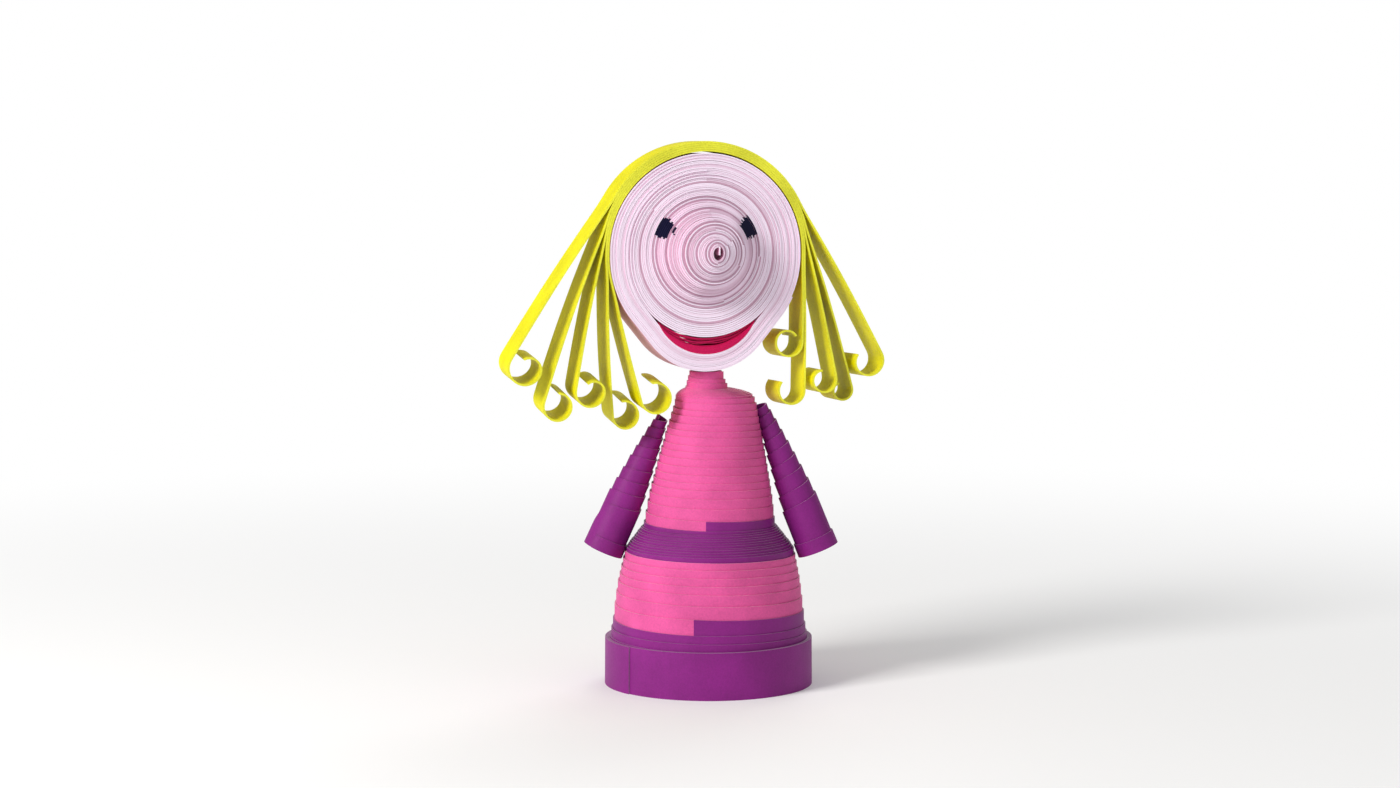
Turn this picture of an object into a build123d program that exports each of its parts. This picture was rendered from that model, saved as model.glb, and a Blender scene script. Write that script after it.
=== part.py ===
from build123d import *
import math
import os

# A free-standing quilled paper doll. Every piece is wound from paper strip of
# one width: the dress, neck and arms are tight coils pushed out into stepped
# cones, the face is a tight coil with its middle pushed out as a nose, and the
# hair is loose strip laid over the head with curled ends.
# Frame: origin at the centre of the hem's bottom edge, +Z up, the doll looks
# along -Y, +X is to the viewer's right.

# Paper stock
paper = 0.17            # thickness of the strip
strip_width = 5.0       # width of the strip

# Dress and neck, one cone of concentric turns from the hem inwards
hem_radius = 11.2
skirt_purple_radius = 10.7
skirt_pink_radius = 10.2
waist_radius = 9.1
bodice_radius = 7.0
shoulder_radius = 4.4
neck_radius = 2.4
neck_top_radius = 1.9
neck_hole_radius = 0.45

skirt_purple_rise = 2.65 # how far each coil's turns climb past the one outside it
skirt_pink_rise = 5.7
waist_rise = 3.2
flank_rise = 12.25
shoulder_rise = 1.4
neck_rise = 1.5
neck_cap_step = 0.3
seam_step = 0.75        # extra height where pink strip starts inside purple

skirt_bow = 0.8         # under 1 bows the stepped profile outwards
flank_bow = 0.85
shoulder_bow = 0.6

skirt_lean = 0.1        # sideways drift of the turns' centres
shoulder_lean = 0.7
neck_lean = -0.2
neck_top_lean = -0.3

# Arms
arm_tip_radius = 0.6
arm_cuff_radius = 2.3
arm_cuff_turns = 1      # flush turns round the open end
arm_cuff_width = 1.5
arm_taper_length = 10.5 # along the arm, over which the turns widen
arm_angle = 24.2        # from straight down, outwards
arm_glue_gap = 0.08     # film of glue between a shoulder and an arm
left_arm_length = 15.8
right_arm_length = 16.9
left_arm_drop = 1.6     # of the tip's centre, below the top of the bodice's side
right_arm_drop = 0.3

# Head
head_yaw = 15.0         # the face is turned towards +X
head_shift = -0.9
chin_glue_gap = 0.05
face_radius = 8.6
face_stretch = 0.5      # the face coil is this much taller than wide
nose_radius = 5.9
nose_bridge_radius = 3.3
nose_hole_radius = 0.5
nose_bridge_rise = 3.2
nose_rise = 4.75
nose_bow = 1.4          # over 1 starts the nose gently from the flat of the face
mouth_half_width = 5.3
mouth_depth = 1.7
wrap_turns = 11         # turns of strip wound round face and mouth together
wrap_gap = 0.02

# Hair: each strip lies over the crown on the one before it
hair_gap = 0.05
# strand: angle from the crown where it leaves the head, straight run,
# curl radius and sweep, tip radius and sweep
left_strands = [
    (58.2, 20.4, 1.75, 190, 1.25, 140),
    (72.5, 20.1, 1.50, 180, 1.40, 105),
    (80.3, 16.6, 1.54, 190, 1.10, 125),
    (95.1, 16.5, 1.40, 180, 1.50, 90),
    (104.9, 13.4, 1.59, 180, 1.65, 85),
]
right_strands = [
    (62.0, 18.9, 1.61, 150, 1.40, 95),
    (74.1, 18.7, 1.00, 180, 0.80, 90),
    (79.0, 16.1, 1.31, 180, 1.05, 95),
    (90.2, 15.0, 1.40, 150, 1.50, 65),
    (90.6, 9.7, 1.45, 200, 1.20, 125),
]

os.makedirs("parts", exist_ok=True)


def save(piece, name):
    """Label one finished piece and write it under its own name."""
    piece.part.label = name
    export_step(piece.part, f"parts/{name}.step")


def turn_circles(outer, inner, outer_lean, inner_lean):
    """Radius and sideways centre of every circle between a run's turns."""
    turns = max(1, round((outer - inner) / paper))
    shares = [turn / turns for turn in range(turns + 1)]
    return [
        (outer + (inner - outer) * share, outer_lean + (inner_lean - outer_lean) * share)
        for share in shares
    ]


def cone_run(outer, inner, low, high, bow, outer_lean, inner_lean):
    """Turns of strip from outer to inner, each one pushed up past the last."""
    circles = turn_circles(outer, inner, outer_lean, inner_lean)
    turns = len(circles) - 1
    for turn in range(turns):
        radius, centre = circles[turn]
        next_radius, next_centre = circles[turn + 1]
        top = low + (high - low) * (turn / turns) ** bow
        with BuildSketch(Plane.XY.offset(top - strip_width)) as ring:
            with Locations((centre, 0)):
                Circle(radius)
            with Locations((next_centre, 0)):
                Circle(next_radius, mode=Mode.SUBTRACT)
        extrude(ring.sketch, amount=strip_width)


# Dress and neck -------------------------------------------------------------

# Height of each coil's last top edge: the hem's turns are flush on the table
hem_top = strip_width
skirt_purple_top = hem_top + skirt_purple_rise
skirt_pink_start = skirt_purple_top + seam_step
skirt_pink_top = skirt_pink_start + skirt_pink_rise
waist_top = skirt_pink_top + waist_rise
bodice_start = waist_top + seam_step
flank_top = bodice_start + flank_rise
shoulder_top = flank_top + shoulder_rise
neck_flank_top = shoulder_top + neck_rise
neck_top = neck_flank_top + neck_cap_step

# Each run: outer and inner radius, top edge at either, bow, lean at either
skirt_pink_run = (
    skirt_pink_radius, waist_radius, skirt_pink_start, skirt_pink_top, skirt_bow, 0, skirt_lean
)
waist_run = (waist_radius, bodice_radius, skirt_pink_top, waist_top, 1, skirt_lean, skirt_lean)
flank_run = (
    bodice_radius, shoulder_radius, bodice_start, flank_top, flank_bow, skirt_lean, shoulder_lean
)
shoulder_run = (
    shoulder_radius, neck_radius, flank_top, shoulder_top, shoulder_bow, shoulder_lean, neck_lean
)

with BuildPart() as hem_rim:
    cone_run(hem_radius, skirt_purple_radius, hem_top, hem_top, 1, 0, 0)
save(hem_rim, "hem_rim")

with BuildPart() as skirt_purple:
    cone_run(skirt_purple_radius, skirt_pink_radius, hem_top, skirt_purple_top, 1, 0, 0)
save(skirt_purple, "skirt_purple")

with BuildPart() as skirt_pink:
    cone_run(*skirt_pink_run)
save(skirt_pink, "skirt_pink")

with BuildPart() as waist_band:
    cone_run(*waist_run)
save(waist_band, "waist_band")

with BuildPart() as bodice:
    cone_run(*flank_run)
    cone_run(*shoulder_run)
save(bodice, "bodice")

with BuildPart() as neck:
    cone_run(neck_radius, neck_top_radius, shoulder_top, neck_flank_top, 1, neck_lean, neck_top_lean)
    cone_run(neck_top_radius, neck_hole_radius, neck_top, neck_top, 1, neck_top_lean, neck_top_lean)
save(neck, "neck")


# Arms -----------------------------------------------------------------------

def dress_edges(side):
    """Height and sideways reach of every turn's top edge on one side."""
    edges = []
    for outer, inner, low, high, bow, outer_lean, inner_lean in (
        skirt_pink_run, waist_run, flank_run
    ):
        circles = turn_circles(outer, inner, outer_lean, inner_lean)
        turns = len(circles) - 1
        for turn in range(turns):
            radius, centre = circles[turn]
            edges.append((low + (high - low) * (turn / turns) ** bow, radius + side * centre))
    return edges


def arm_turns(arm_length):
    """Radii and start of every turn, from the shoulder to the cuff."""
    taper_turns = round((arm_cuff_radius - arm_tip_radius) / paper) - arm_cuff_turns
    pitch = (arm_cuff_radius - arm_tip_radius) / (taper_turns + arm_cuff_turns)
    turns = []
    for turn in range(taper_turns + arm_cuff_turns + 1):
        radius = arm_tip_radius + pitch * turn
        start = min(arm_taper_length * turn / taper_turns, arm_length - arm_cuff_width)
        if turn > taper_turns:
            start = arm_length - arm_cuff_width
        turns.append((radius, radius - pitch, start))
    return turns


def arm_reach(side, height, arm_length):
    """How far out the tip's centre sits for the arm to lie against the dress."""
    sine = math.sin(math.radians(arm_angle))
    cosine = math.cos(math.radians(arm_angle))
    reach = 0
    for radius, _, start in arm_turns(arm_length):
        for edge_height, edge_reach in dress_edges(side):
            # distance along the arm's axis at which its side passes this edge
            along = (height - edge_height - radius * sine) / cosine
            if start <= along <= arm_length:
                reach = max(reach, edge_reach - along * sine + radius * cosine)
    return reach + arm_glue_gap


def arm_plane(side, height, arm_length):
    """Plane across the arm's tip, with its normal along the arm."""
    slope = math.radians(arm_angle)
    return Plane(
        origin=(side * arm_reach(side, height, arm_length), 0, height),
        x_dir=(0, 1, 0),
        z_dir=(side * math.sin(slope), 0, -math.cos(slope)),
    )


def arm_coil(side, height, arm_length):
    """A tight coil drawn out into a tapered tube, open at its wide end."""
    plane = arm_plane(side, height, arm_length)
    for radius, inner_radius, start in arm_turns(arm_length):
        with BuildSketch(plane.offset(start)) as ring:
            Circle(radius)
            Circle(inner_radius, mode=Mode.SUBTRACT)
        extrude(ring.sketch, amount=min(strip_width, arm_length - start))


with BuildPart() as left_arm:
    arm_coil(-1, flank_top - left_arm_drop, left_arm_length)
save(left_arm, "left_arm")

with BuildPart() as right_arm:
    arm_coil(1, flank_top - right_arm_drop, right_arm_length)
save(right_arm, "right_arm")


# Head -----------------------------------------------------------------------

# The mouth coil is pressed under the face coil: its lower edge is an arc
# through both corners and the lowest point.
corner_drop = face_stretch + math.sqrt(face_radius**2 - mouth_half_width**2)
mouth_bottom = face_stretch + face_radius + mouth_depth
mouth_sagitta = mouth_bottom - corner_drop
mouth_radius = (mouth_half_width**2 + mouth_sagitta**2) / (2 * mouth_sagitta)
mouth_centre = mouth_radius - mouth_bottom
wrap_thickness = wrap_turns * paper
head_radius = face_radius + wrap_gap + wrap_thickness
head_height = neck_top + chin_glue_gap + mouth_bottom + wrap_gap + wrap_thickness

yaw = math.radians(head_yaw)
head_plane = Plane(
    origin=(head_shift, 0, head_height),
    x_dir=(math.cos(yaw), math.sin(yaw), 0),
    z_dir=(math.sin(yaw), -math.cos(yaw), 0),
)
head_back = head_plane.offset(-strip_width / 2)


def nose_turns():
    """Outer radius and forward push of every turn inside the flat face."""
    runs = [
        (nose_radius, nose_bridge_radius, 0, nose_bridge_rise, nose_bow),
        (nose_bridge_radius, nose_hole_radius, nose_bridge_rise, nose_rise, 1),
    ]
    turns = []
    for outer, inner, low, high, bow in runs:
        count = round((outer - inner) / paper)
        pitch = (outer - inner) / count
        for turn in range(count):
            push = low + (high - low) * ((turn + 1) / count) ** bow
            turns.append((outer - turn * pitch, pitch, push))
    return turns


def head_outline(margin, round_mouth):
    """Outline of a strip pulled tight round the face coil, or round both coils."""
    with BuildSketch(head_back) as outline:
        Circle(face_radius + margin)
        with Locations((0, -face_stretch)):
            Circle(face_radius + margin)
        if round_mouth:
            with Locations((0, mouth_centre)):
                Circle(mouth_radius + margin)
        make_hull()
    return outline.sketch


with BuildPart() as face:
    extrude(head_outline(0, False), amount=strip_width)
    with BuildSketch(head_back):
        Circle(nose_radius)
    extrude(amount=strip_width, mode=Mode.SUBTRACT)
    for radius, pitch, push in nose_turns():
        with BuildSketch(head_back.offset(push)):
            Circle(radius)
            Circle(radius - pitch, mode=Mode.SUBTRACT)
        extrude(amount=strip_width)
save(face, "face")

with BuildPart() as mouth:
    with BuildSketch(head_back):
        with Locations((0, mouth_centre)):
            Circle(mouth_radius)
    extrude(amount=strip_width)
    extrude(head_outline(0, False), amount=strip_width, mode=Mode.SUBTRACT)
save(mouth, "mouth")

with BuildPart() as head_wrap:
    extrude(head_outline(wrap_gap + wrap_thickness, True), amount=strip_width)
    extrude(head_outline(wrap_gap, True), amount=strip_width, mode=Mode.SUBTRACT)
save(head_wrap, "head_wrap")


# Hair -----------------------------------------------------------------------

def strand(crown_radius, side, leave, run, curl_radius, curl_sweep, tip_radius, tip_sweep):
    """Centre line of half a strip, from the crown to its curled end."""
    last = JernArc((0, crown_radius), (side, 0), crown_radius, -side * min(leave, 90))
    if leave > 90:
        # past the head's side it follows the stretched outline round
        beside = PolarLine(last @ 1, face_stretch, direction=last % 1)
        last = JernArc(beside @ 1, beside % 1, crown_radius, -side * (leave - 90))
    hanging = PolarLine(last @ 1, run, direction=last % 1)
    curl = JernArc(hanging @ 1, hanging % 1, curl_radius, -side * curl_sweep)
    JernArc(curl @ 1, curl % 1, tip_radius, -side * tip_sweep)


for index, (left, right) in enumerate(zip(left_strands, right_strands)):
    layers_below = len(left_strands) - 1 - index
    crown = head_radius + hair_gap + paper / 2 + layers_below * (paper + hair_gap)
    with BuildPart() as hair_strip:
        with BuildSketch(head_back):
            with BuildLine():
                strand(crown, -1, *left)
                strand(crown, 1, *right)
            trace(line_width=paper)
        extrude(amount=strip_width)
    save(hair_strip, f"hair_strip_{index + 1}")
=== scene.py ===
import math
import random
from collections import namedtuple

import bpy
import numpy as np
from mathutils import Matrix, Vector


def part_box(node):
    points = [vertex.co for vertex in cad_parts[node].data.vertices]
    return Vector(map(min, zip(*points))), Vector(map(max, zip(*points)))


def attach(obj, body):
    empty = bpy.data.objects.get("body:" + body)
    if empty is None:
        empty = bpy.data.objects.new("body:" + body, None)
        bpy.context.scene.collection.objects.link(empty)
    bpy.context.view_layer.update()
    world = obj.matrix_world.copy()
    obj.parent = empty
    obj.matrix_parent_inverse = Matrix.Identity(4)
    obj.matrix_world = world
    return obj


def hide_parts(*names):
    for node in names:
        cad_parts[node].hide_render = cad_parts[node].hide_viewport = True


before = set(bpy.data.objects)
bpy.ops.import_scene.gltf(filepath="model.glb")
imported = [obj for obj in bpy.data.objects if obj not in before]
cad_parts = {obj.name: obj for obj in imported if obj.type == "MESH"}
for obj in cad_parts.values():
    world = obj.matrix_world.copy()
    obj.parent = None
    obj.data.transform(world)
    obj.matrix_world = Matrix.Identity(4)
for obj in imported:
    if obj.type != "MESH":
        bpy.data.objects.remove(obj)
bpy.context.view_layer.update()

MM = 0.001
TAU = 2 * math.pi

# Paper, in millimetres
PITCH = 0.17           # from one turn of a coil to the next
SHEET = 0.152          # thickness of the strip as it shows
LOOSE_SHEET = 0.205    # of a strip that nothing presses flat
CUT_EDGES = (1.0, 0.0, 1.0, 0.0)   # which of a strip's four sides are cut edges, which take the paler edge colour with its painted highlight
INK_AND_SHADE_SIDES = (1, 2)               # the outer face and the front edge, which take pen ink and painted shade lines
FRONT_EDGE = 2

# Dress: seams between strips, in degrees from +X, anticlockwise seen from above
HEM_SEAM = -139.0
PURPLE_SEAM = -128.5
PINK_SEAM = -99.0
WAIST_SEAM = 96.0
BODICE_SEAM = -93.5
NECK_SEAM = 60.0

SHOULDER = (4.4, 0.7)          # radius and sideways centre of the shoulder's edge
PURPLE_RISE = 2.65             # of each coil, outermost turn to innermost
WAIST_RISE = 2.75
WAIST_LIFT = 0.45              # of the waist band's first turn, past the CAD ring
FLANK_RISE = 12.25             # of the bodice's side, waist to shoulder
SKIRT_BOW = 0.8
FLANK_BOW = 0.85
SHOULDER_BOW = 0.35
NECK_TOP = (1.9, -0.3)
NECK_RISE = 1.5
NECK_CAP_STEP = 0.3
NECK_HOLE = 0.45
TOP_LEAN = 0.04                # inwards, of each turn's top edge
JOG_SHARE = 2.2                # how fast steeper turns take on the full unevenness
WAVE_SHARE = 2.0
WAVE_FLAT = 0.25               # share of the waviness left where turns lie level

# Head, in its own plane: u to the doll's side, v up, w out of the face
HEAD_YAW = math.radians(15.0)
FACE_RADIUS = 8.6
FACE_STRETCH = 0.5             # the face coil is this much taller than wide
STRETCH_SPREAD = 3.0           # how sharply its lower half is set down
NOSE_RADIUS = 5.9
NOSE_BRIDGE = 3.3
NOSE_HOLE = 0.6
NOSE_TURN_IN = 0.14            # bend of the strip's first end, which crosses the hole
NOSE_CROSS = 0.75
NOSE_BEND_POINTS = 8           # points along the bend, then along the fall
NOSE_FALL_POINTS = 12
NOSE_TALL = 1.6                # radius inside which the nose's turns are oval
NOSE_OVAL = 0.5
NOSE_BRIDGE_RISE = 3.2
NOSE_RISE = 4.75
NOSE_BOW = 1.4
MOUTH_HALF_WIDTH = 5.3
MOUTH_DEPTH = 1.7
MOUTH_SPAN = 0.995             # of the crescent's width that each layer reaches
MOUTH_TIP_HALF = 0.012         # half a layer's thickness at the crescent's tips
MOUTH_TIP_SHARE = 0.11         # how it grows with the room between the arcs
WRAP_TURNS = 11
WRAP_SHOWN = 11.69             # turns from the crown to the strip's end
WRAP_GAP = 0.02
WRAP_SHEET = 0.150
WRAP_SLACK = 0.006
WRAP_SMOOTH = 1.5              # outermost turns, which lie tight
FACE_SHEET = 0.150
CREASE = 0.05                  # widest part of the slack in the wrap, over the crown
CREASE_TURN = 6.75
CREASE_LENGTH = 0.5
HAIR_GAP = 0.05

# Arms
ARM_TIP_RADIUS = 0.6
ARM_CUFF_RADIUS = 2.3
ARM_CUFF_TURNS = 1
ARM_CUFF_WIDTH = 1.5
ARM_ANGLE = math.radians(24.2)
ARM_LENGTHS = {"left_arm": 15.8, "right_arm": 16.9}
ARM_SEAMS = {"left_arm": 215.0, "right_arm": 290.0}
ARM_TURN_IN = {"left_arm": 0.0, "right_arm": math.radians(2.3)}
ARM_BOW = 1.3          # over 1 fills the cone out towards the tip
ARM_CUFF_EASE = 0.22   # turns in which the strip passes over to the cuff
ARM_FLARE = 0.3        # of a turn's lower edge, as a share of its spread
ARM_FIT = 0.01         # kept between turns
ARM_TUCK = {"left_arm": 0.15, "right_arm": 0.35}   # pressed this much nearer the dress

# Points along a turn, or along a mouth layer
DRESS_STEPS = 150
ARM_STEPS = 120
FACE_STEPS = 200
WRAP_STEPS = 240
MOUTH_STEPS = 90

# Unevenness along the strips: spacing, then size in millimetres. Spacing is in
# turns, but in millimetres for the hair and in layer lengths for the mouth
DRESS_JOG = (1.0, 0.09)
DRESS_WAVE = (0.23, 0.022)
DRESS_SQUEEZE = (0.31, 0.010)
ARM_JOG = (1.0, 0.10)
ARM_WAVE = (0.3, 0.02)
FACE_JOG = (1.0, 0.06)
FACE_WAVE = (0.4, 0.02)
FACE_SQUEEZE = (0.27, 0.010)
FACE_SLACK = (0.8, 0.012)
WRAP_JOG = (1.0, 0.05)
WRAP_WAVE = (0.35, 0.025)
WRAP_SQUEEZE = (0.4, 0.012)
MOUTH_FOLD = 0.13              # spacing only: each layer has its own size
HAIR_WAVE = (9.0, 0.06)

# The same for the tone of the front edges, which sets the painted shade lines between turns,
# and for the pen's reach in degrees
FACE_DRIFT = (0.7, 0.35)
FACE_TONE_STEP = (1.0, 0.55)
WRAP_DRIFT = (0.5, 0.22)
WRAP_TONE_STEP = (1.0, 0.22)
PEN_REACH = (0.5, 1.8)
NOISE_VALUES = 4096     # drawn for each kind of unevenness

# Hair. A strand leaves the head at an angle from the crown, hangs in a run that
# bows outwards and ends in a curl and a tip. Its back edge lifts, and its curl
# drifts back
STRAND_STEP = 0.12     # spacing of points along a strand
BEND_EASE = 5          # points over which a bend comes in
EVEN_OUT = 20          # points over which a strand turns upright after the head
WAVE_GROWTH = 4.0      # the waviness is full after a quarter of the hanging part
TIP_NARROWING = 0.01
Strand = namedtuple(
    "Strand",
    "leave run curl_radius curl_sweep tip_radius tip_sweep bow lift drift",
)
LEFT_STRANDS = [
    Strand(58.2, 20.4, 1.75, 190, 1.25, 140, 0.25, 0.45, 0.0),
    Strand(72.5, 20.1, 1.50, 180, 1.40, 105, 0.30, 0.60, 0.4),
    Strand(80.3, 16.6, 1.54, 190, 1.10, 125, 0.20, 0.60, 0.0),
    Strand(95.1, 16.0, 1.40, 180, 1.50, 90, 0.25, 0.65, 1.4),
    Strand(104.9, 12.9, 1.59, 180, 1.65, 85, 0.10, 0.55, -0.4),
]
RIGHT_STRANDS = [
    Strand(62.0, 18.9, 1.61, 150, 1.40, 95, 0.25, -0.15, 0.0),
    Strand(74.1, 18.7, 1.05, 180, 0.85, 90, 0.25, -0.10, 1.0),
    Strand(79.0, 16.1, 1.31, 180, 1.05, 95, 0.20, -0.10, -0.4),
    Strand(90.2, 14.5, 1.40, 150, 1.50, 65, 0.10, -0.15, 0.5),
    Strand(90.6, 9.2, 1.45, 200, 1.20, 125, 0.10, -0.15, 0.3),
]

# Colours of the papers and their cut edges, linear. The edge colours are paler partly as a
# painted highlight on the cut edges.
PINK = (0.72, 0.095, 0.32)
PURPLE = (0.225, 0.014, 0.195)
# The light pink's faces, which show mostly in the gaps between turns, are a deeper pink as
# painted shade, and its cut edges far paler as a painted highlight
LIGHT_PINK = (0.82, 0.44, 0.62)
LIGHT_PINK_EDGE = (0.96, 0.82, 0.97)
MAGENTA = (0.60, 0.004, 0.095)
YELLOW = (0.84, 0.78, 0.002)
YELLOW_EDGE = (0.90, 0.90, 0.06)
# Pen ink on the eyes; the same dark colour is mixed in as painted shade for the lines between
# turns
PEN_AND_SHADE_COLOUR = (0.006, 0.005, 0.035)

# Fine dark lines between turns: painted shade for the shadowed gaps and steps between them
LINE_SHADE = 0.28         # how dark the darkest painted shade lines are
NOSE_LINES = 1.5        # times darker on the nose, painted shade for the steps of its cone
DARKEST_TONE = 0.1      # least paleness of any other turn
STRONG_TONE = 0.15      # paleness left in the turns that stand out

# Grain of the paper, for the materials
CLOUD_SCALE = 260.0
CLOUD_DETAIL = 3.0
FIBRE_SCALE = 5200.0
FIBRE_DETAIL = 4.0
FIBRE_ROUGHNESS = 0.65
GRAIN_LOW = 0.7         # of the two noises' sum, over which the tone changes
GRAIN_HIGH = 1.3
DARK_MOTTLE = 1.5       # dark spots stand out this many times more than pale ones
BUMP_STRENGTH = 0.6
BUMP_DEPTH = 0.00002

# Stage and lamps, in metres and watts
FLOOR_HALF = 3.0
FLOOR_COLOUR = (0.9, 0.9, 0.9, 1)
FLOOR_ROUGHNESS = 0.8
FLOOR_SHINE = 0.1
FADE_START = 0.03       # from the doll's middle, where the floor turns white
FADE_END = 0.22
LAMP_AIM = (0.0, 0.0, 0.030)
LAMPS = [              # name, place, size, power, colour
    ("key", (-0.27, -0.23, 0.23), 0.14, 1.52, (1.0, 0.985, 0.96)),
    ("fill", (0.36, -0.20, 0.10), 0.30, 0.10, (0.97, 0.98, 1.0)),
    ("rim", (0.10, 0.30, 0.30), 0.20, 0.40, (1.0, 1.0, 1.0)),
]
SURROUND_STRENGTH = 0.44   # of the light from all round, then as the camera sees it
BACKDROP_STRENGTH = 1.0
CAMERA_PLACE = (-0.00094, -0.3043, 0.058)
CAMERA_DOWN = 5.07      # degrees
CAMERA_LENS = 73.7
CAMERA_SENSOR = 36.0


def box_mm(node):
    """Lowest and highest corner of a CAD node in millimetres."""
    low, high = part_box(node)
    return np.array(low) / MM, np.array(high) / MM


# Meshes ---------------------------------------------------------------------

def strip_mesh(name, lines, material, ink=None, tones=None):
    """Closed strip of paper from four corner lines: inner and outer, low and high.

    lines is (points, 4, 3) in millimetres: inner low, outer low, outer high,
    inner high. The ink and shade values darken the outer face and the front edge
    along the strip, as pen ink for the eyes and as painted shade lines between
    turns, and tones makes the front edge less pale, with less of its painted
    highlight, where a painted shade line falls.
    """
    count = len(lines)
    vertices = (np.asarray(lines).reshape(-1, 3) * MM).tolist()
    faces = []
    marks = []
    ink_and_shade_marks = []
    for i in range(count - 1):
        a, b = 4 * i, 4 * (i + 1)
        for side in range(4):
            near, far = side, (side + 1) % 4
            faces.append((a + near, b + near, b + far, a + far))
            # A front edge whose turn carries a painted shade line keeps less of its pale edge
            # colour and its painted highlight
            pale = tones[i] if tones and side == FRONT_EDGE else 1.0
            marks.append(CUT_EDGES[side] * pale)
            ink_and_shade_marks.append(float(ink[i]) if ink and side in INK_AND_SHADE_SIDES else 0.0)
    last = 4 * (count - 1)
    faces.append((0, 1, 2, 3))
    faces.append((last + 3, last + 2, last + 1, last))
    marks += [1.0, 1.0]
    ink_and_shade_marks += [0.0, 0.0]
    mesh = bpy.data.meshes.new(name)
    mesh.from_pydata(vertices, [], faces)
    mesh.attributes.new("edge", "FLOAT", "FACE").data.foreach_set("value", marks)
    mesh.attributes.new("ink", "FLOAT", "FACE").data.foreach_set("value", ink_and_shade_marks)
    mesh.materials.append(material)
    piece = bpy.data.objects.new(name, mesh)
    bpy.context.collection.objects.link(piece)
    return piece


def join_strips(name, strips):
    """One piece from several strips."""
    bpy.ops.object.select_all(action="DESELECT")
    for strip in strips:
        strip.select_set(True)
    bpy.context.view_layer.objects.active = strips[0]
    bpy.ops.object.join()
    strips[0].name = name
    return strips[0]


def flip_if_inside_out(piece):
    """Turn the faces outwards where the strip was laid the other way."""
    bpy.ops.object.select_all(action="DESELECT")
    piece.select_set(True)
    bpy.context.view_layer.objects.active = piece
    bpy.ops.object.mode_set(mode="EDIT")
    bpy.ops.mesh.select_all(action="SELECT")
    bpy.ops.mesh.normals_make_consistent(inside=False)
    bpy.ops.object.mode_set(mode="OBJECT")


def finish_piece(piece, nodes):
    """Turn the faces outwards, hide the CAD parts that the piece stands in for and hang it on
    the root body.
    """
    flip_if_inside_out(piece)
    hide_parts(*nodes)
    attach(piece, "root")


def smooth(share):
    """0 to 1 with a soft start and end."""
    return share * share * (3 - 2 * share)


def line_tone(turn, drift, step):
    """How pale a turn's front edge is: most are pale, some carry painted shade and read as
    fine dark lines.
    """
    shade = drift(turn) + step(math.floor(turn) + 0.5)
    return max(DARKEST_TONE, 1.0 - max(0.0, shade))


class Wander:
    """Smooth noise that runs along a strip, the same every time."""

    def __init__(self, step, size, seed):
        source = random.Random(seed)
        self.step = step
        self.values = [source.uniform(-size, size) for _ in range(NOISE_VALUES)]

    def __call__(self, place):
        spot = place / self.step
        index = int(math.floor(spot))
        first = self.values[index % NOISE_VALUES]
        second = self.values[(index + 1) % NOISE_VALUES]
        return first + (second - first) * smooth(spot - index)


# Materials ------------------------------------------------------------------

def noise_node(nodes, links, place, scale, detail):
    """Noise fixed to the object."""
    noise = nodes.new("ShaderNodeTexNoise")
    noise.inputs["Scale"].default_value = scale
    noise.inputs["Detail"].default_value = detail
    links.new(place.outputs["Object"], noise.inputs["Vector"])
    return noise


def mesh_mix(nodes, links, attribute):
    """Colour mix whose share is a value stored on the mesh."""
    share = nodes.new("ShaderNodeAttribute")
    share.attribute_name = attribute
    mix = nodes.new("ShaderNodeMix")
    mix.data_type = "RGBA"
    links.new(share.outputs["Fac"], mix.inputs["Factor"])
    return mix


def paper_grain(nodes, links, mottle):
    """The fibre's noise, and how far it and broad clouds lighten the paper."""
    place = nodes.new("ShaderNodeTexCoord")
    cloud = noise_node(nodes, links, place, CLOUD_SCALE, CLOUD_DETAIL)
    fibre = noise_node(nodes, links, place, FIBRE_SCALE, FIBRE_DETAIL)
    fibre.inputs["Roughness"].default_value = FIBRE_ROUGHNESS
    tone = nodes.new("ShaderNodeMath")
    tone.operation = "ADD"
    links.new(cloud.outputs["Fac"], tone.inputs[0])
    links.new(fibre.outputs["Fac"], tone.inputs[1])
    span = nodes.new("ShaderNodeMapRange")
    span.inputs["From Min"].default_value = GRAIN_LOW
    span.inputs["From Max"].default_value = GRAIN_HIGH
    span.inputs["To Min"].default_value = 1 - mottle * DARK_MOTTLE
    span.inputs["To Max"].default_value = 1 + mottle
    links.new(tone.outputs["Value"], span.inputs["Value"])
    return fibre, span


def paper_colour(nodes, links, colour, edge_colour, span):
    """Body and cut edges in their colours, the edges paler partly as a painted highlight,
    mottled, with pen ink and painted shade lines on top.
    """
    body = mesh_mix(nodes, links, "edge")
    body.inputs["A"].default_value = (*colour, 1)
    body.inputs["B"].default_value = (*edge_colour, 1)
    toned = nodes.new("ShaderNodeVectorMath")
    toned.operation = "SCALE"
    links.new(body.outputs["Result"], toned.inputs[0])
    links.new(span.outputs["Result"], toned.inputs["Scale"])
    marked = mesh_mix(nodes, links, "ink")
    marked.inputs["B"].default_value = (*PEN_AND_SHADE_COLOUR, 1)
    links.new(toned.outputs["Vector"], marked.inputs["A"])
    return marked


def with_glow(nodes, links, paper, marked, bump, glow):
    """The paper with a share of the light coming through it."""
    through = nodes.new("ShaderNodeBsdfTranslucent")
    links.new(marked.outputs["Result"], through.inputs["Color"])
    links.new(bump.outputs["Normal"], through.inputs["Normal"])
    blend = nodes.new("ShaderNodeMixShader")
    blend.inputs["Fac"].default_value = glow
    links.new(paper.outputs["BSDF"], blend.inputs[1])
    links.new(through.outputs["BSDF"], blend.inputs[2])
    return blend.outputs["Shader"]


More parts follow.
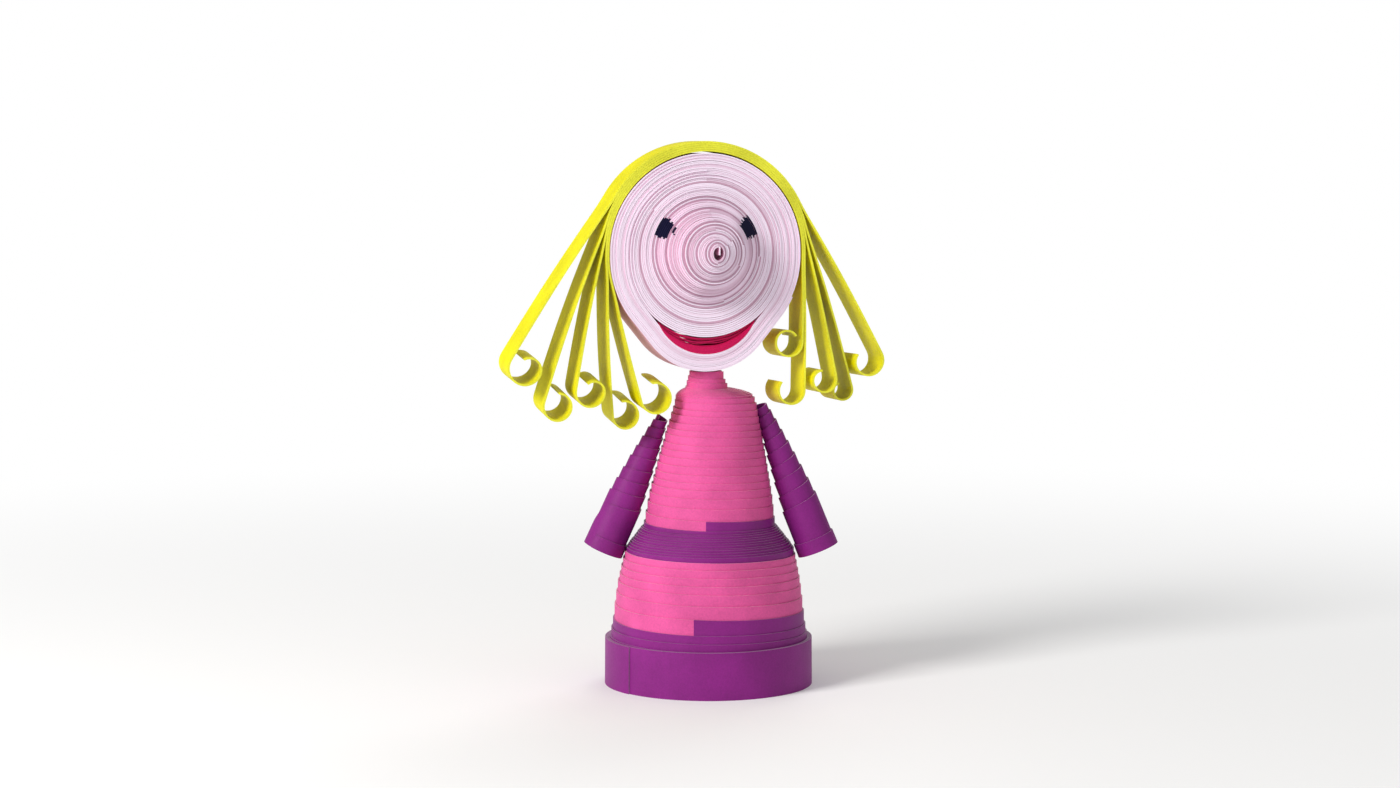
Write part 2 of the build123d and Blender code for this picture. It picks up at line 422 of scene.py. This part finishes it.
def paper_material(name, colour, edge_colour, rough, glow, mottle=0.12, shine=0.2):
    """Dyed quilling paper: fibre, faint mottling, cut edges paler partly as a painted
    highlight, some glow.
    """
    material = bpy.data.materials.new(name)
    material.use_nodes = True
    nodes = material.node_tree.nodes
    links = material.node_tree.links
    nodes.clear()
    output = nodes.new("ShaderNodeOutputMaterial")
    paper = nodes.new("ShaderNodeBsdfPrincipled")
    paper.inputs["Roughness"].default_value = rough
    paper.inputs["Specular IOR Level"].default_value = shine
    fibre, span = paper_grain(nodes, links, mottle)
    marked = paper_colour(nodes, links, colour, edge_colour, span)
    links.new(marked.outputs["Result"], paper.inputs["Base Color"])
    bump = nodes.new("ShaderNodeBump")
    bump.inputs["Strength"].default_value = BUMP_STRENGTH
    bump.inputs["Distance"].default_value = BUMP_DEPTH
    links.new(fibre.outputs["Fac"], bump.inputs["Height"])
    links.new(bump.outputs["Normal"], paper.inputs["Normal"])
    surface = paper.outputs["BSDF"]
    if glow:
        surface = with_glow(nodes, links, paper, marked, bump, glow)
    links.new(surface, output.inputs["Surface"])
    return material


def lighter(colour, share):
    """A colour part of the way to white."""
    return tuple(value + (1 - value) * share for value in colour)


# Edge colours are lightened towards white, partly as a painted highlight on the cut edges
pink_paper = paper_material(
    "pink_paper", PINK, lighter(PINK, 0.30), rough=0.55, glow=0.04
)
purple_paper = paper_material(
    "purple_paper", PURPLE, lighter(PURPLE, 0.16), rough=0.5, glow=0.0
)
light_paper = paper_material(
    "light_pink_paper", LIGHT_PINK, LIGHT_PINK_EDGE, rough=0.6, glow=0.04, mottle=0.03
)
magenta_paper = paper_material("magenta_paper", MAGENTA, MAGENTA, rough=0.5, glow=0.0)
yellow_paper = paper_material(
    "yellow_paper", YELLOW, YELLOW_EDGE, rough=0.5, glow=0.16, shine=0.12
)


# Dress and neck -------------------------------------------------------------

def dress_stations():
    """Radius, top edge and sideways centre of each coil, and the strip's width."""
    hem_low, hem_high = box_mm("hem_rim")
    width = hem_high[2] - hem_low[2]
    stations = []
    for node in ("hem_rim", "skirt_purple", "skirt_pink", "waist_band", "bodice", "neck"):
        low, high = box_mm(node)
        stations.append(((high[0] - low[0]) / 2, low[2] + width, (high[0] + low[0]) / 2))
    return stations, width


STATIONS, STRIP = dress_stations()
HEM, SKIRT_PURPLE, SKIRT_PINK, WAIST, BODICE, NECK = STATIONS
WAIST = (WAIST[0], WAIST[1] + WAIST_LIFT, WAIST[2])
NECK_FLANK = (NECK_TOP[0], NECK[1] + NECK_RISE, NECK_TOP[1])
SHOULDER_EDGE = (SHOULDER[0], BODICE[1] + FLANK_RISE, SHOULDER[1])

# From station to station inwards: outer end, height reached, inner end, bow
RUNS = [
    (HEM, SKIRT_PURPLE[1], SKIRT_PURPLE, 1.0),
    (SKIRT_PURPLE, SKIRT_PURPLE[1] + PURPLE_RISE, SKIRT_PINK, 1.0),
    (SKIRT_PINK, WAIST[1], WAIST, SKIRT_BOW),
    (WAIST, WAIST[1] + WAIST_RISE, BODICE, 1.0),
    (BODICE, SHOULDER_EDGE[1], SHOULDER_EDGE, FLANK_BOW),
    (SHOULDER_EDGE, NECK[1], NECK, SHOULDER_BOW),
    (NECK, NECK_FLANK[1], NECK_FLANK, 1.0),
]


def dress_knots():
    """Radius, top edge and sideways centre of every turn, from the hem inwards."""
    knots = []
    for (outer, low, lean), high, (inner, _, inner_lean), bow in RUNS:
        turns = max(1, round((outer - inner) / PITCH))
        for turn in range(turns):
            share = turn / turns
            radius = outer + (inner - outer) * share
            height = low + (high - low) * share**bow
            knots.append((radius, height, lean + (inner_lean - lean) * share))
    cap = NECK_FLANK[1] + NECK_CAP_STEP
    knots.append((NECK_TOP[0], cap, NECK_TOP[1]))
    knots.append((0.0, cap, NECK_TOP[1]))
    return np.array(knots)


KNOTS = dress_knots()


def dress_profile(radius):
    """Top edge and sideways centre of the turn with this outer radius."""
    top = np.interp(-radius, -KNOTS[:, 0], KNOTS[:, 1])
    centre = np.interp(-radius, -KNOTS[:, 0], KNOTS[:, 2])
    return float(top), float(centre)


def turns_to_seam(radius, seam):
    """Turns from the hem's end inwards to a seam near this radius."""
    whole = (HEM[0] - radius) / PITCH
    part = ((HEM_SEAM - seam) / 360.0) % 1.0
    return round(whole - part) + part


def dress_coil(node, start, end, material):
    """Strip wound from one seam inwards to the next, each turn pushed up."""
    jog = Wander(*DRESS_JOG, node)
    wave = Wander(*DRESS_WAVE, node + "wave")
    squeeze = Wander(*DRESS_SQUEEZE, node + "squeeze")
    lines = []
    count = int((end - start) * DRESS_STEPS)
    for i in range(count + 1):
        turn = start + (end - start) * i / count
        angle = math.radians(HEM_SEAM) - TAU * turn
        radius = HEM[0] - PITCH * turn
        top, centre = dress_profile(radius)
        step = dress_profile(radius - PITCH)[0] - top
        jogged = min(1.0, JOG_SHARE * step) * jog(turn)
        top += jogged + min(1.0, WAVE_SHARE * step + WAVE_FLAT) * wave(turn)
        if node == "hem_rim":
            top = STRIP - abs(wave(turn))
        out = radius - (PITCH - SHEET) / 2 + squeeze(turn)
        inn = out - SHEET
        low = max(0.0, top - STRIP)
        cosine, sine = math.cos(angle), math.sin(angle)
        lines.append((
            (centre + inn * cosine, inn * sine, low),
            (centre + out * cosine, out * sine, low),
            (centre + (out - TOP_LEAN) * cosine, (out - TOP_LEAN) * sine, top),
            (centre + (inn - TOP_LEAN) * cosine, (inn - TOP_LEAN) * sine, top),
        ))
    piece = strip_mesh(node + "_strip", lines, material)
    finish_piece(piece, [node])


SEAMS = [
    0.0,
    turns_to_seam(SKIRT_PURPLE[0], PURPLE_SEAM),
    turns_to_seam(SKIRT_PINK[0], PINK_SEAM),
    turns_to_seam(WAIST[0], WAIST_SEAM),
    turns_to_seam(BODICE[0], BODICE_SEAM),
    turns_to_seam(NECK[0], NECK_SEAM),
    (HEM[0] - NECK_HOLE - PITCH) / PITCH,
]
DRESS_PIECES = [
    ("hem_rim", purple_paper, "purple_paper"),
    ("skirt_purple", purple_paper, "purple_paper"),
    ("skirt_pink", pink_paper, "pink_paper"),
    ("waist_band", purple_paper, "purple_paper"),
    ("bodice", pink_paper, "pink_paper"),
    ("neck", pink_paper, "pink_paper"),
]
for (dress_node, dress_paper, dress_slot), first, last in zip(DRESS_PIECES, SEAMS, SEAMS[1:]):
    dress_coil(dress_node, first, last, dress_paper)


# Arms -----------------------------------------------------------------------

def arm_tip(node, side):
    """Centre of the arm's tip, from the node's box."""
    low, high = box_mm(node)
    inner_x = low[0] if side > 0 else high[0]
    tip_x = inner_x + side * ARM_TIP_RADIUS * math.cos(ARM_ANGLE)
    tip_z = high[2] - ARM_TIP_RADIUS * math.sin(ARM_ANGLE)
    return np.array((tip_x, 0.0, tip_z))


def arm_coil(node, side):
    """Coil drawn out into a tapered tube, with its last turns round the cuff."""
    length = ARM_LENGTHS[node]
    tip = arm_tip(node, side) - np.array((side * ARM_TUCK[node], 0.0, 0.0))
    lean = ARM_ANGLE - ARM_TURN_IN[node]
    along = np.array((side * math.sin(lean), 0, -math.cos(lean)))
    across = np.array((0.0, 1.0, 0.0))
    third = np.cross(along, across)
    turns = (ARM_CUFF_RADIUS - ARM_TIP_RADIUS) / PITCH
    taper_turns = turns - ARM_CUFF_TURNS
    taper = length - STRIP
    jog = Wander(*ARM_JOG, node)
    wave = Wander(*ARM_WAVE, node + "wave")
    lines = []
    count = int((turns + 1) * ARM_STEPS)
    for i in range(count + 1):
        turn = turns * i / count
        angle = math.radians(ARM_SEAMS[node]) + TAU * (turn - turns)
        radius = ARM_TIP_RADIUS + PITCH * turn
        start = taper * min(1.0, turn / taper_turns) ** ARM_BOW
        if turn > taper_turns:
            share = smooth(min(1.0, (turn - taper_turns) / ARM_CUFF_EASE))
            start = taper + (length - ARM_CUFF_WIDTH - taper) * share
        start = max(0.0, start + (jog(turn) + wave(turn)) * min(1.0, turn))
        end = min(start + STRIP, length)
        spread = PITCH / 2 * min(1.0, (end - start) / STRIP)
        direction = across * math.cos(angle) + third * math.sin(angle)
        out_top = radius - ARM_FIT
        out_end = radius + spread * ARM_FLARE
        lines.append((
            tip + along * end + direction * (out_end - SHEET),
            tip + along * end + direction * out_end,
            tip + along * start + direction * out_top,
            tip + along * start + direction * (out_top - SHEET),
        ))
    piece = strip_mesh(node + "_strip", lines, purple_paper)
    finish_piece(piece, [node])


arm_coil("left_arm", -1)
arm_coil("right_arm", 1)


# Head -----------------------------------------------------------------------

U = np.array((math.cos(HEAD_YAW), math.sin(HEAD_YAW), 0.0))
V = np.array((0.0, 0.0, 1.0))
W = np.array((math.sin(HEAD_YAW), -math.cos(HEAD_YAW), 0.0))
mouth_low, _ = box_mm("mouth")
wrap_low, wrap_high = box_mm("head_wrap")
CHIN = FACE_STRETCH + FACE_RADIUS + MOUTH_DEPTH
WRAP = WRAP_TURNS * PITCH
HEAD_CENTRE = np.array((
    (wrap_low[0] + wrap_high[0]) / 2,
    (wrap_low[1] + wrap_high[1]) / 2,
    mouth_low[2] + CHIN,
))
FRONT = STRIP / 2      # from the head's middle plane to its front


def on_head(u, v, w):
    """A place in the head's own plane, in millimetres."""
    return HEAD_CENTRE + U * u + V * v + W * w


def head_corners(inner, outer, back, front):
    """A strip's four corners where it passes these two places of the head's plane."""
    return (
        on_head(*inner, back),
        on_head(*outer, back),
        on_head(*outer, front),
        on_head(*inner, front),
    )


def mouth_arc():
    """Radius and height of the centre of the mouth's lower arc."""
    drop = FACE_STRETCH + math.sqrt(FACE_RADIUS**2 - MOUTH_HALF_WIDTH**2)
    sagitta = CHIN - drop
    radius = (MOUTH_HALF_WIDTH**2 + sagitta**2) / (2 * sagitta)
    return radius, radius - CHIN


MOUTH_RADIUS, MOUTH_CENTRE = mouth_arc()

# Eyes, drawn with a pen across the edges of some turns: inner and outer radius,
# then middle angle and half the reach in degrees
EYES = [
    (4.75, 5.95, 152.6, 11.0),
    (4.38, 4.60, 150.0, 5.0),
    (4.25, 5.95, 30.5, 11.5),
]

# Turns of the face that stand out as dark pink lines of painted shade, by radius
STRONG_LINES = (7.35, 5.92, 5.55, 4.75, 3.38, 3.02, 2.2, 1.35, 0.95)


def nose_push(radius):
    """How far a turn of the face coil is pushed out of the flat."""
    if radius >= NOSE_RADIUS:
        return 0.0
    if radius >= NOSE_BRIDGE:
        share = (NOSE_RADIUS - radius) / (NOSE_RADIUS - NOSE_BRIDGE)
        return NOSE_BRIDGE_RISE * share**NOSE_BOW
    share = min(1.0, (NOSE_BRIDGE - radius) / (NOSE_BRIDGE - NOSE_HOLE))
    return NOSE_BRIDGE_RISE + (NOSE_RISE - NOSE_BRIDGE_RISE) * share


def eye_ink(radius, angle, jitter):
    """1 where the pen crossed this turn's front edge."""
    for inner, outer, middle, half in EYES:
        if inner < radius < outer:
            away = (math.degrees(angle) - middle + 180) % 360 - 180
            if abs(away) < half + jitter:
                return 1.0
    return 0.0


def face_place(radius, angle):
    """Where a turn of the face coil passes: round inside, a little tall outside."""
    share = max(0.0, (radius - NOSE_RADIUS) / (FACE_RADIUS - NOSE_RADIUS))
    sine = math.sin(angle)
    lowered = min(1.0, max(0.0, 0.5 - STRETCH_SPREAD * sine))
    tall = 1 + NOSE_OVAL * max(0.0, 1 - radius / NOSE_TALL)
    return radius * math.cos(angle), radius * sine * tall - FACE_STRETCH * share * lowered


def nose_end(radius):
    """The strip's first end: it turns in from the hole's top and hangs across it."""
    top = face_place(radius, math.pi / 2)[1]
    half = FACE_SHEET / 2
    push = NOSE_RISE + FRONT
    lines = []
    for i in range(1, NOSE_BEND_POINTS + NOSE_FALL_POINTS + 1):
        bend = min(1.0, i / NOSE_BEND_POINTS) * math.pi / 2
        fall = max(0.0, (i - NOSE_BEND_POINTS) / NOSE_FALL_POINTS) * NOSE_CROSS
        outward = np.array((math.sin(bend), math.cos(bend)))
        spot = np.array((0.0, top - NOSE_TURN_IN - fall)) + outward * NOSE_TURN_IN
        inner = spot - outward * half
        outer = spot + outward * half
        lines.append(head_corners(inner, outer, push - STRIP, push))
    return lines


def face_coil():
    """The face: one long spiral, flat outside and pushed out to a nose inside."""
    turns = round((FACE_RADIUS - NOSE_HOLE) / PITCH)
    jog = Wander(*FACE_JOG, "face")
    wave = Wander(*FACE_WAVE, "face_wave")
    squeeze = Wander(*FACE_SQUEEZE, "face_squeeze")
    slack = Wander(*FACE_SLACK, "face_slack")
    pen = Wander(*PEN_REACH, "pen")
    drift = Wander(*FACE_DRIFT, "face_drift")
    step = Wander(*FACE_TONE_STEP, "face_step")
    lines = []
    ink = []
    tones = []
    count = int(turns * FACE_STEPS)
    for i in range(count + 1):
        turn = turns * i / count
        angle = math.pi / 2 - TAU * turn
        radius = FACE_RADIUS - PITCH * turn
        push = nose_push(radius) + jog(turn) + wave(turn)
        out = radius + squeeze(turn) * min(1.0, turn)
        inn = out - FACE_SHEET - slack(turn)
        inner = face_place(inn, angle)
        outer = face_place(out, angle)
        lines.append(head_corners(inner, outer, push - FRONT, push + FRONT))
        tone = line_tone(turn, drift, step)
        for ring in STRONG_LINES:
            if abs(radius - ring) < PITCH / 2:
                tone = min(tone, STRONG_TONE)
        tones.append(tone)
        # Pen ink where the eyes are drawn, elsewhere painted shade lines between turns,
        # darker on the nose
        dark = LINE_SHADE * (NOSE_LINES if radius < NOSE_RADIUS else 1.0)
        ink.append(max(eye_ink(radius, angle, pen(turn)), dark * (1 - tone)))
    end = nose_end(radius - FACE_SHEET / 2)
    lines += end
    ink += [0.0] * len(end)
    tones += [1.0] * len(end)
    piece = strip_mesh("face_coil", lines, light_paper, ink, tones)
    finish_piece(piece, ["face"])


def wrap_outline(margin, count):
    """Evenly spaced points and directions round the head, from the top."""
    face = FACE_RADIUS + margin
    chin = MOUTH_RADIUS + margin
    gap = -FACE_STRETCH - MOUTH_CENTRE
    down = math.pi / 2 - math.asin((face - chin) / gap)
    straight = math.sqrt(gap**2 - (face - chin) ** 2)
    lengths = (
        face * math.pi / 2,
        FACE_STRETCH,
        face * (math.pi / 2 - down),
        straight,
        chin * down,
    )
    ends = np.cumsum(lengths)
    points = []
    for i in range(count):
        place = 2 * ends[4] * i / count
        side = -1.0
        if place > ends[4]:
            place = 2 * ends[4] - place
            side = 1.0
        turn = math.pi / 2
        slide = np.zeros(2)
        if place < ends[0]:
            turn = math.pi - place / face
        elif place < ends[1]:
            slide[1] = ends[0] - place
        elif place < ends[2]:
            turn -= (place - ends[1]) / face
            slide[1] = -FACE_STRETCH
        elif place < ends[3]:
            turn = down
            slide[1] = -FACE_STRETCH
            slide -= np.array((math.cos(down), math.sin(down))) * (place - ends[2])
        else:
            turn = (ends[4] - place) / chin
            slide[1] = MOUTH_CENTRE
        radius = face if place < ends[3] else chin
        normal = np.array((math.sin(turn), -math.cos(turn)))
        points.append(((normal * radius + slide) * (side, 1.0), normal * (side, 1.0)))
    return points


def head_wrap():
    """Turns of strip wound tight round the face and the mouth."""
    jog = Wander(*WRAP_JOG, "wrap")
    wave = Wander(*WRAP_WAVE, "wrap_wave")
    squeeze = Wander(*WRAP_SQUEEZE, "wrap_squeeze")
    drift = Wander(*WRAP_DRIFT, "wrap_drift")
    step = Wander(*WRAP_TONE_STEP, "wrap_step")
    tones = []
    ink = []
    pitch = WRAP / WRAP_SHOWN
    rounds = [
        wrap_outline(WRAP_GAP - PITCH + pitch * turn, WRAP_STEPS)
        for turn in range(math.ceil(WRAP_SHOWN) + 1)
    ]
    lines = []
    for i in range(round(WRAP_SHOWN * WRAP_STEPS)):
        turn = i / WRAP_STEPS
        whole = int(turn)
        share = turn - whole
        inner, normal = rounds[whole][i % WRAP_STEPS]
        outer, _ = rounds[whole + 1][i % WRAP_STEPS]
        spot = inner + (outer - inner) * share
        near = WRAP_SLACK
        if turn < WRAP_SHOWN - WRAP_SMOOTH:
            near += squeeze(turn) * min(1.0, turn)
        if CREASE_TURN < turn < CREASE_TURN + CREASE_LENGTH:
            near += CREASE * math.sin(math.pi * (turn - CREASE_TURN) / CREASE_LENGTH)
        first = spot + normal * near
        second = spot + normal * (near + WRAP_SHEET)
        depth = jog(turn) + wave(turn)
        # Painted shade lines between the wrap's turns
        tones.append(line_tone(turn, drift, step))
        ink.append(LINE_SHADE * (1 - tones[-1]))
        lines.append(head_corners(first, second, depth - FRONT, depth + FRONT))
    piece = strip_mesh("head_wrap_strip", lines, light_paper, ink, tones)
    finish_piece(piece, ["head_wrap"])


def mouth_layer(share, sag, depth, thickness, name):
    """One layer of the pressed mouth coil, between its upper and lower arcs."""
    lines = []
    wave = Wander(MOUTH_FOLD, sag, name)
    for i in range(MOUTH_STEPS + 1):
        across = -1 + 2 * i / MOUTH_STEPS
        u = MOUTH_HALF_WIDTH * across * MOUTH_SPAN
        lower = MOUTH_CENTRE - math.sqrt(MOUTH_RADIUS**2 - u**2)
        upper = -FACE_STRETCH - math.sqrt(FACE_RADIUS**2 - u**2)
        room = upper - lower
        middle = lower + room * share + wave(i / MOUTH_STEPS) * (1 - across * across)
        half = min(thickness / 2, room * MOUTH_TIP_SHARE + MOUTH_TIP_HALF)
        inner = (u, middle + half)
        outer = (u, middle - half)
        lines.append(head_corners(inner, outer, depth - FRONT, depth + FRONT))
    return strip_mesh(name, lines, magenta_paper)


# Layers of the mouth, from the bottom up: share of the crescent's height, sag,
# how far forward, thickness
MOUTH_LAYERS = [
    (0.045, 0.0, 0.02, 0.17),
    (0.135, 0.0, 0.0, 0.17),
    (0.225, 0.0, 0.03, 0.17),
    (0.315, 0.0, -0.02, 0.17),
    (0.40, 0.01, -0.05, 0.16),
    (0.50, 0.08, -0.25, 0.12),
    (0.62, 0.10, -0.45, 0.12),
    (0.74, 0.08, -0.35, 0.12),
    (0.85, 0.03, -0.55, 0.14),
    (0.94, 0.0, -0.30, 0.15),
]


def mouth_coil():
    """Coil pressed flat to a crescent: tight along the bottom, folded above."""
    strips = [
        mouth_layer(*layer, f"mouth_{index}")
        for index, layer in enumerate(MOUTH_LAYERS)
    ]
    piece = join_strips("mouth_coil", strips)
    finish_piece(piece, ["mouth"])


face_coil()
head_wrap()
mouth_coil()


# Hair -----------------------------------------------------------------------

def strand_bends(crown, strand):
    """How sharply a strand bends at each point, and where it leaves the head."""
    bends = [1 / crown] * round(crown * math.radians(min(strand.leave, 90)) / STRAND_STEP)
    if strand.leave > 90:
        bends += [0.0] * round(FACE_STRETCH / STRAND_STEP)
        bends += [1 / crown] * round(crown * math.radians(strand.leave - 90) / STRAND_STEP)
    leaves = len(bends)
    straight = round(strand.run / STRAND_STEP)
    arch = 8 * strand.bow / strand.run**2
    bends += [arch * math.sin(math.pi * i / straight) for i in range(straight)]
    spare = sum(bends) * STRAND_STEP - math.radians(strand.leave)
    for radius, sweep in (
        (strand.curl_radius, strand.curl_sweep),
        (strand.tip_radius, strand.tip_sweep),
    ):
        bends += [1 / radius] * round((radius * math.radians(sweep)) / STRAND_STEP)
    kernel = np.ones(BEND_EASE) / BEND_EASE
    padded = np.pad(bends, BEND_EASE // 2, mode="edge")
    bends = np.convolve(padded, kernel, mode="valid")
    bends[leaves:leaves + EVEN_OUT] -= spare / (EVEN_OUT * STRAND_STEP)
    return bends, leaves


def strand_path(crown, strand):
    """Half a strip from the crown to its tip: places, headings, and the place
    number at which it leaves the head."""
    bends, leaves = strand_bends(crown, strand)
    heading = 0.0
    place = np.array((0.0, crown))
    places, headings = [place], [heading]
    for bend in bends:
        heading -= bend * STRAND_STEP
        place = place + STRAND_STEP * np.array((math.cos(heading), math.sin(heading)))
        places.append(place)
        headings.append(heading)
    return places, headings, leaves


def half_strip(crown, side, strand, tag):
    """Corner lines of half a strip, from the crown outwards."""
    places, headings, leaves = strand_path(crown, strand)
    wave = Wander(*HAIR_WAVE, tag)
    total = len(places)
    rows = []
    for i in range(total):
        place, heading = places[i], headings[i]
        normal = np.array((-math.sin(heading), math.cos(heading)))
        hanging = max(0.0, (i - leaves) / (total - leaves))
        ease = smooth(hanging)
        waving = wave(i * STRAND_STEP) * min(1.0, hanging * WAVE_GROWTH)
        centre_w = -strand.drift * ease + waving
        half = FRONT * (1 - TIP_NARROWING * ease)
        row = []
        for face, edge in ((-1, -1), (1, -1), (1, 1), (-1, 1)):
            u, v = place + normal * (LOOSE_SHEET / 2) * face
            v = v + strand.lift * ease * (1 - edge) / 2
            row.append(on_head(side * u, v, centre_w + edge * half))
        rows.append(row)
    return rows


def hair():
    """Five strips over the crown, each laid on the one before it."""
    head_radius = FACE_RADIUS + WRAP_GAP + WRAP
    layers = len(LEFT_STRANDS)
    for index in range(layers):
        below = layers - 1 - index
        crown = head_radius + HAIR_GAP + LOOSE_SHEET / 2 + below * (PITCH + HAIR_GAP)
        left = half_strip(crown, -1, LEFT_STRANDS[index], f"left{index}")
        right = half_strip(crown, 1, RIGHT_STRANDS[index], f"right{index}")
        lines = left[::-1] + right[1:]
        node = f"hair_strip_{index + 1}"
        piece = strip_mesh(node + "_curled", lines, yellow_paper)
        finish_piece(piece, [node])


hair()


# Stage ----------------------------------------------------------------------

def stage_floor():
    """Pale floor that keeps the shadow near the doll and fades to white far off."""
    half = FLOOR_HALF
    vertices = [(-half, -half, 0), (half, -half, 0), (half, half, 0), (-half, half, 0)]
    mesh = bpy.data.meshes.new("floor")
    mesh.from_pydata(vertices, [], [(0, 1, 2, 3)])
    floor = bpy.data.objects.new("floor", mesh)
    bpy.context.collection.objects.link(floor)
    material = bpy.data.materials.new("floor")
    material.use_nodes = True
    nodes = material.node_tree.nodes
    links = material.node_tree.links
    shader = nodes["Principled BSDF"]
    shader.inputs["Base Color"].default_value = FLOOR_COLOUR
    shader.inputs["Roughness"].default_value = FLOOR_ROUGHNESS
    shader.inputs["Specular IOR Level"].default_value = FLOOR_SHINE
    place = nodes.new("ShaderNodeTexCoord")
    distance = nodes.new("ShaderNodeVectorMath")
    distance.operation = "LENGTH"
    fade = nodes.new("ShaderNodeMapRange")
    fade.interpolation_type = "SMOOTHSTEP"
    fade.inputs["From Min"].default_value = FADE_START
    fade.inputs["From Max"].default_value = FADE_END
    ray = nodes.new("ShaderNodeLightPath")
    seen = nodes.new("ShaderNodeMath")
    seen.operation = "MULTIPLY"
    white = nodes.new("ShaderNodeEmission")
    blend = nodes.new("ShaderNodeMixShader")
    links.new(place.outputs["Object"], distance.inputs[0])
    links.new(distance.outputs["Value"], fade.inputs["Value"])
    links.new(fade.outputs["Result"], seen.inputs[0])
    links.new(ray.outputs["Is Camera Ray"], seen.inputs[1])
    links.new(seen.outputs["Value"], blend.inputs["Fac"])
    links.new(shader.outputs["BSDF"], blend.inputs[1])
    links.new(white.outputs["Emission"], blend.inputs[2])
    links.new(blend.outputs["Shader"], nodes["Material Output"].inputs["Surface"])
    mesh.materials.append(material)


def area_light(name, place, size, power, colour):
    """Square soft light pointed at the doll."""
    data = bpy.data.lights.new(name, "AREA")
    data.size = size
    data.energy = power
    data.color = colour
    lamp = bpy.data.objects.new(name, data)
    lamp.location = place
    direction = np.array(LAMP_AIM) - np.array(place)
    lamp.rotation_euler = look_angles(direction)
    bpy.context.collection.objects.link(lamp)


def look_angles(direction):
    """Rotation that points an object's -Z along a direction, upright."""
    x, y, z = direction
    level = math.hypot(x, y)
    return (math.atan2(level, -z), 0.0, math.atan2(-x, y))


def studio():
    """Soft key from the upper left, weak fill, even surroundings, white backdrop."""
    for lamp in LAMPS:
        area_light(*lamp)
    world = bpy.data.worlds.new("studio")
    world.use_nodes = True
    bpy.context.scene.world = world
    nodes = world.node_tree.nodes
    links = world.node_tree.links
    ray = nodes.new("ShaderNodeLightPath")
    strength = nodes.new("ShaderNodeMapRange")
    strength.inputs["To Min"].default_value = SURROUND_STRENGTH
    strength.inputs["To Max"].default_value = BACKDROP_STRENGTH
    links.new(ray.outputs["Is Camera Ray"], strength.inputs["Value"])
    links.new(strength.outputs["Result"], nodes["Background"].inputs["Strength"])
    nodes["Background"].inputs["Color"].default_value = (1, 1, 1, 1)


def camera():
    """Level with the crown, looking slightly down."""
    data = bpy.data.cameras.new("camera")
    data.sensor_width = CAMERA_SENSOR
    data.lens = CAMERA_LENS
    eye = bpy.data.objects.new("camera", data)
    eye.location = CAMERA_PLACE
    eye.rotation_euler = (math.radians(90 - CAMERA_DOWN), 0.0, 0.0)
    bpy.context.collection.objects.link(eye)
    bpy.context.scene.camera = eye


stage_floor()
studio()
camera()
bpy.context.scene.view_settings.view_transform = "Standard"
